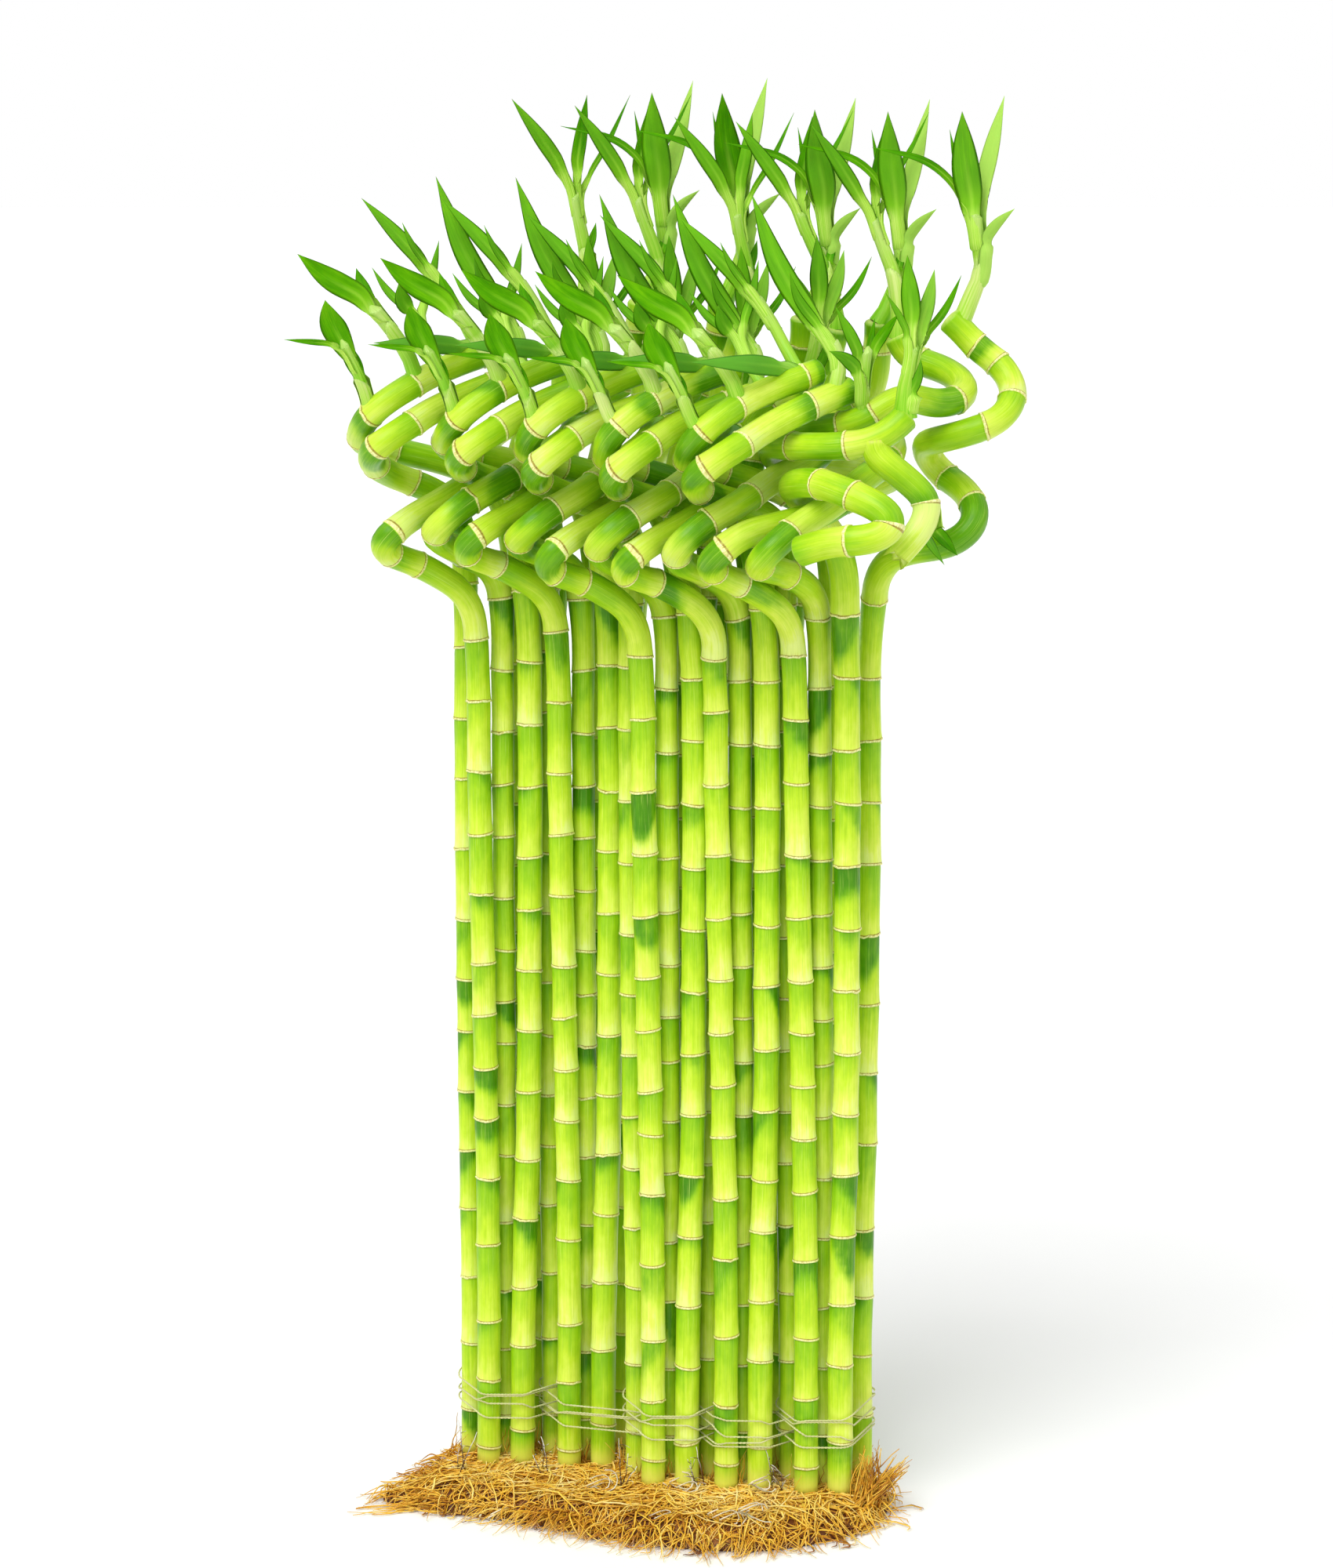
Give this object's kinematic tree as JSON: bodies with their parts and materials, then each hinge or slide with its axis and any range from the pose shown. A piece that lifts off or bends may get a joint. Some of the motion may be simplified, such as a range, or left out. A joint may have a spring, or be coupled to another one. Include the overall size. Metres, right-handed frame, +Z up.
{
  "type": "lucky bamboo",
  "caption": "Tied bunch of curly lucky bamboo: straight ringed stalks coil at the top into leafy shoots and stand on a matted root pad.",
  "frame": {"origin": "the middle of the front row of stalks, on the ground under the root pad", "axes": "+Z up along the stalks, the front of the bunch faces -Y"},
  "size_m": [0.3953, 0.2688, 0.7983],
  "materials": {
    "stalk": "living cane and leaf: glossy lime green, paler below each ring, leaves mid green",
    "roots": "matted golden orange roots with pale tips, matt",
    "string": "thin pale yellow green twine"
  },
  "bodies": {
    "root": {"stalk_g1_front_left": "stalk", "stalk_g1_middle": "stalk", "stalk_g1_front_right": "stalk", "stalk_g1_right": "stalk", "stalk_g1_back_left": "stalk", "stalk_g1_back": "stalk", "stalk_g2_front_left": "stalk", "stalk_g2_middle": "stalk", "stalk_g2_front_right": "stalk", "stalk_g2_right": "stalk", "stalk_g2_back_left": "stalk", "stalk_g2_back": "stalk", "stalk_g3_front_left": "stalk", "stalk_g3_middle": "stalk", "stalk_g3_front_right": "stalk", "stalk_g3_right": "stalk", "stalk_g3_back_left": "stalk", "stalk_g3_back": "stalk", "stalk_g4_front_left": "stalk", "stalk_g4_middle": "stalk", "stalk_g4_front_right": "stalk", "stalk_g4_right": "stalk", "stalk_g4_back_left": "stalk", "stalk_g4_back": "stalk", "stalk_g5_front_left": "stalk", "stalk_g5_middle": "stalk", "stalk_g5_front_right": "stalk", "stalk_g5_right": "stalk", "stalk_g5_back_left": "stalk", "stalk_g5_back": "stalk", "root_mat": "roots", "tie_g1": "string", "tie_g2": "string", "tie_g3": "string", "tie_g4": "string", "tie_g5": "string"}
  },
  "joints": []
}
